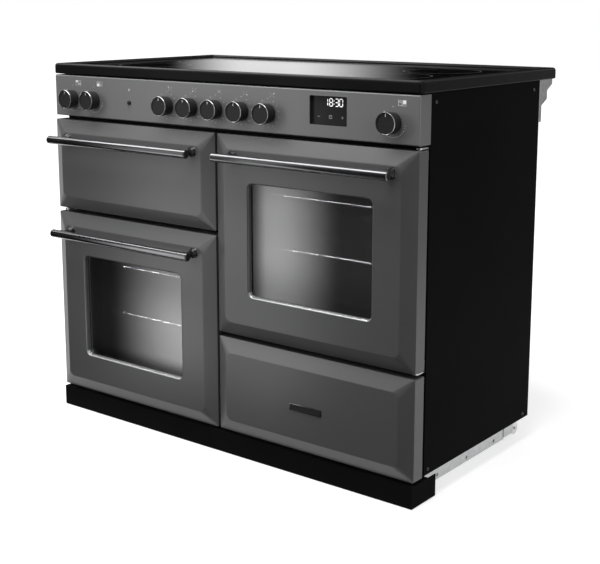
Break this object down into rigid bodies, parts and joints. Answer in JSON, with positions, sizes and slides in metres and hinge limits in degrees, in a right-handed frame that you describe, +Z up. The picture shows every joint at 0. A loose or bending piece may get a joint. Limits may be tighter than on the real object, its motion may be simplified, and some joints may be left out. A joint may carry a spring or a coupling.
{
  "type": "induction range cooker",
  "caption": "Freestanding induction range cooker with ceramic hob, knob panel, drop-down grill door, glazed side-hinged oven doors, storage drawer and plinth.",
  "frame": {"origin": "on the floor under the middle of the outline", "axes": "+X to the right of a user in front of it, +Y towards the wall behind it, +Z up"},
  "size_m": [1.1, 0.666, 0.905],
  "materials": {
    "slate_paint": "satin",
    "black_enamel": "gloss",
    "cavity_enamel": "gloss",
    "black_texture": "fine texture",
    "galvanised": "matt",
    "drawer_steel": "satin",
    "hinge_steel": "satin",
    "wire_chrome": "polished",
    "dark_chrome": "polished",
    "knob_black": "satin",
    "display_black": "gloss",
    "switch_plastic": "matt",
    "oven_glass": "polished",
    "hob_glass": "polished",
    "seal_rubber": "matt",
    "foot_plastic": "matt"
  },
  "bodies": {
    "cabinet": {"base_rails": "galvanised", "base_tray": "galvanised", "control_panel": "slate_paint", "control_switches": "switch_plastic", "display_module": "display_black", "door_hinges": "hinge_steel", "drawer_runners": "galvanised", "fan_baffles": "cavity_enamel", "fan_motors": "galvanised", "front_frame": "black_enamel", "grill_cavity": "cavity_enamel", "grill_element": "hinge_steel", "grill_pan": "cavity_enamel", "hob_frame": "black_enamel", "hob_glass": "hob_glass", "hob_tray": "galvanised", "induction_coils": "switch_plastic", "left_oven_cavity": "cavity_enamel", "left_side_panel": "black_texture", "levelling_feet": "foot_plastic", "oven_door_seals": "seal_rubber", "oven_shelves": "wire_chrome", "oven_side_racks": "wire_chrome", "plinth": "black_texture", "rear_panel": "galvanised", "rear_vent_duct": "galvanised", "right_oven_cavity": "cavity_enamel", "right_side_panel": "black_texture", "terminal_box": "galvanised"},
    "grill_door": {"grill_door_skin": "slate_paint", "grill_door_liner": "black_enamel", "grill_door_handle_bar": "dark_chrome", "grill_door_handle_posts": "dark_chrome"},
    "left_oven_door": {"left_oven_door_skin": "slate_paint", "left_oven_door_liner": "black_enamel", "left_oven_door_outer_glass": "oven_glass", "left_oven_door_inner_glass": "oven_glass", "left_oven_door_handle_bar": "dark_chrome", "left_oven_door_handle_posts": "dark_chrome"},
    "right_oven_door": {"right_oven_door_skin": "slate_paint", "right_oven_door_liner": "black_enamel", "right_oven_door_outer_glass": "oven_glass", "right_oven_door_inner_glass": "oven_glass", "right_oven_door_handle_bar": "dark_chrome", "right_oven_door_handle_posts": "dark_chrome"},
    "drawer": {"drawer_front": "slate_paint", "drawer_box": "drawer_steel"},
    "light_button": {"light_button": "knob_black"},
    "left_roller": {"left_roller": "galvanised"},
    "right_roller": {"right_roller": "galvanised"},
    "left_oven_fan": {"left_oven_fan": "hinge_steel"},
    "right_oven_fan": {"right_oven_fan": "hinge_steel"},
    "grill_knob": {"grill_knob": "knob_black"},
    "left_oven_knob": {"left_oven_knob": "knob_black"},
    "hob_knob_rear_left": {"hob_knob_rear_left": "knob_black"},
    "hob_knob_front_left": {"hob_knob_front_left": "knob_black"},
    "hob_knob_centre": {"hob_knob_centre": "knob_black"},
    "hob_knob_front_right": {"hob_knob_front_right": "knob_black"},
    "hob_knob_rear_right": {"hob_knob_rear_right": "knob_black"},
    "right_oven_knob": {"right_oven_knob": "knob_black"}
  },
  "joints": [
    {"name": "grill_door_hinge", "type": "hinge", "parent": "cabinet", "child": "grill_door", "pos_m": [-0.27475, -0.255, 0.548], "axis": [1, 0, 0], "range_deg": [0, 90]},
    {"name": "left_oven_door_hinge", "type": "hinge", "parent": "cabinet", "child": "left_oven_door", "pos_m": [-0.535, -0.247, 0.292], "axis": [0, 0, -1], "range_deg": [0, 100]},
    {"name": "right_oven_door_hinge", "type": "hinge", "parent": "cabinet", "child": "right_oven_door", "pos_m": [0.535, -0.247, 0.531], "axis": [0, 0, 1], "range_deg": [0, 100]},
    {"name": "drawer_slide", "type": "slide", "parent": "cabinet", "child": "drawer", "axis": [0, -1, 0], "range_m": [0, 0.36]},
    {"name": "light_button_press", "type": "slide", "parent": "cabinet", "child": "light_button", "axis": [0, 1, 0], "range_m": [0, 0.0025], "stiffness_N_per_m": 400},
    {"name": "grill_knob_turn", "type": "hinge", "parent": "cabinet", "child": "grill_knob", "pos_m": [-0.481, -0.28, 0.818], "axis": [0, 1, 0], "range_deg": [0, 270]},
    {"name": "left_oven_knob_turn", "type": "hinge", "parent": "cabinet", "child": "left_oven_knob", "pos_m": [-0.404, -0.28, 0.818], "axis": [0, 1, 0], "range_deg": [0, 270]},
    {"name": "hob_knob_rear_left_turn", "type": "hinge", "parent": "cabinet", "child": "hob_knob_rear_left", "pos_m": [-0.154, -0.28, 0.818], "axis": [0, 1, 0], "range_deg": [0, 270]},
    {"name": "hob_knob_front_left_turn", "type": "hinge", "parent": "cabinet", "child": "hob_knob_front_left", "pos_m": [-0.077, -0.28, 0.818], "axis": [0, 1, 0], "range_deg": [0, 270]},
    {"name": "hob_knob_centre_turn", "type": "hinge", "parent": "cabinet", "child": "hob_knob_centre", "pos_m": [0, -0.28, 0.818], "axis": [0, 1, 0], "range_deg": [0, 270]},
    {"name": "hob_knob_front_right_turn", "type": "hinge", "parent": "cabinet", "child": "hob_knob_front_right", "pos_m": [0.077, -0.28, 0.818], "axis": [0, 1, 0], "range_deg": [0, 270]},
    {"name": "hob_knob_rear_right_turn", "type": "hinge", "parent": "cabinet", "child": "hob_knob_rear_right", "pos_m": [0.154, -0.28, 0.818], "axis": [0, 1, 0], "range_deg": [0, 270]},
    {"name": "right_oven_knob_turn", "type": "hinge", "parent": "cabinet", "child": "right_oven_knob", "pos_m": [0.481, -0.28, 0.818], "axis": [0, 1, 0], "range_deg": [0, 270]},
    {"name": "left_roller_spin", "type": "hinge", "parent": "cabinet", "child": "left_roller", "pos_m": [-0.5, 0.265, 0.016], "axis": [1, 0, 0], "continuous": true},
    {"name": "right_roller_spin", "type": "hinge", "parent": "cabinet", "child": "right_roller", "pos_m": [0.5, 0.265, 0.016], "axis": [1, 0, 0], "continuous": true},
    {"name": "left_oven_fan_spin", "type": "hinge", "parent": "cabinet", "child": "left_oven_fan", "pos_m": [-0.27475, 0.16, 0.292], "axis": [0, 1, 0], "continuous": true},
    {"name": "right_oven_fan_spin", "type": "hinge", "parent": "cabinet", "child": "right_oven_fan", "pos_m": [0.27475, 0.16, 0.531], "axis": [0, 1, 0], "continuous": true}
  ]
}
